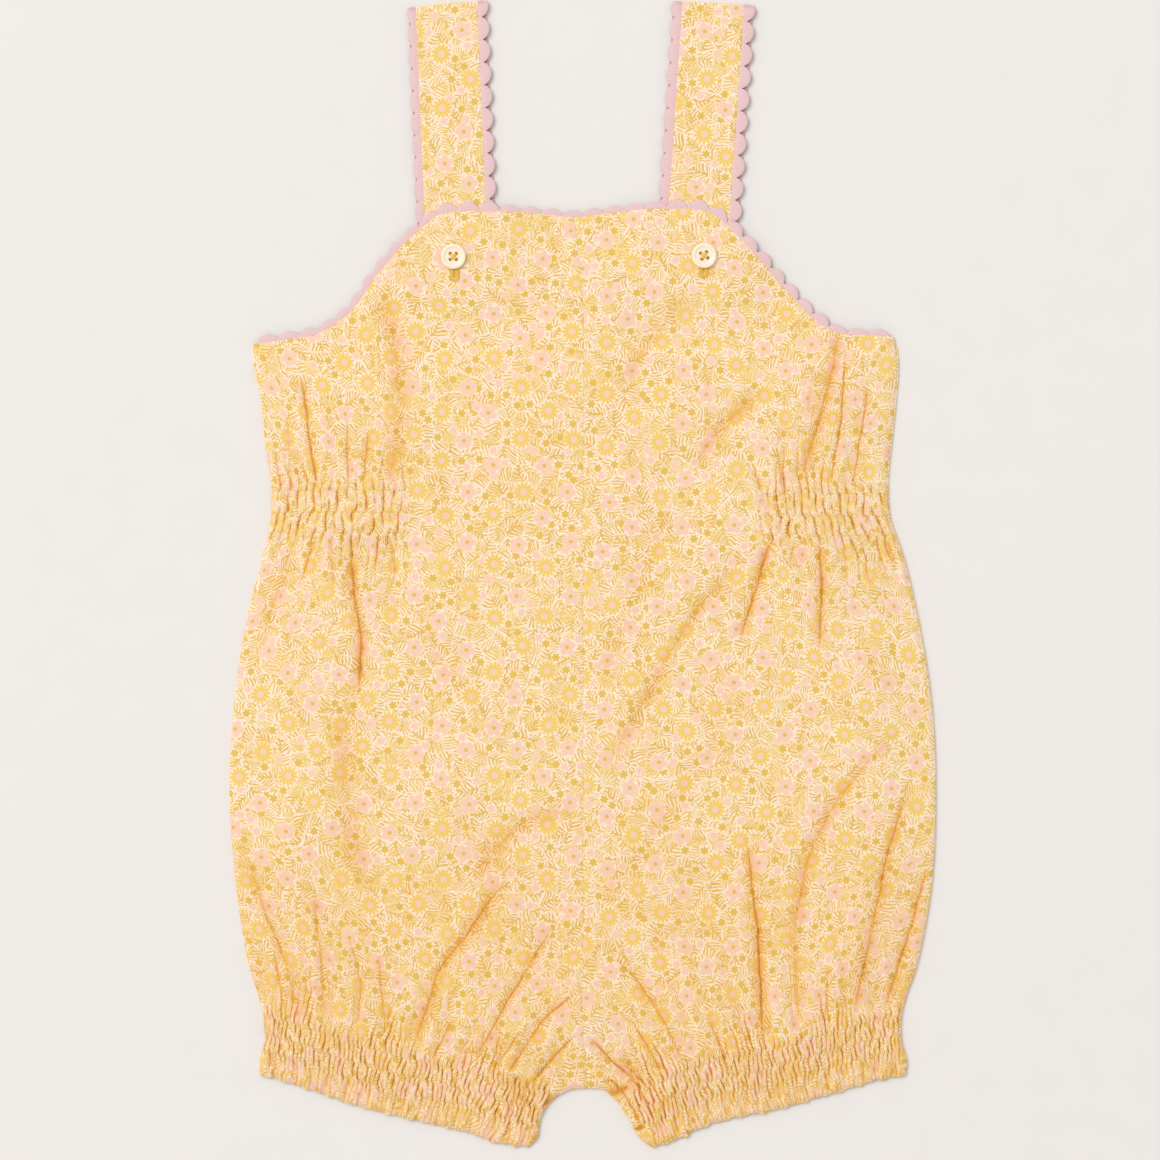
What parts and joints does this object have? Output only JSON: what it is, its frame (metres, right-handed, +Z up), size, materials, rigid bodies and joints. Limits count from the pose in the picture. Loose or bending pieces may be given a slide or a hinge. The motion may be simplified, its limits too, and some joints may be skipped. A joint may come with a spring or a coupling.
{
  "type": "baby romper",
  "caption": "Baby's bib romper laid flat, with folded straps, scalloped edging, buttons, and shirring at the waist sides and legs.",
  "frame": {"origin": "middle of the garment's length and width, on the surface that it lies on", "axes": "+Y from the leg hems to the shoulders, +X to the viewer's right as the front is seen, +Z up out of the front"},
  "size_m": [0.3175, 0.5174, 0.0072],
  "materials": {
    "printed_cotton": "woven cotton, small yellow and pink all-over print on cream",
    "pink_edging": "pink woven scalloped trim",
    "cream_button": "cream, satin to glossy"
  },
  "bodies": {
    "root": {"back_panel": "printed_cotton", "front_left": "printed_cotton", "front_right": "printed_cotton", "strap_left": "printed_cotton", "strap_right": "printed_cotton", "bib_edging": "pink_edging", "strap_left_edging_outer": "pink_edging", "strap_left_edging_inner": "pink_edging", "strap_right_edging_outer": "pink_edging", "strap_right_edging_inner": "pink_edging", "button_left": "cream_button", "button_right": "cream_button"}
  },
  "joints": []
}
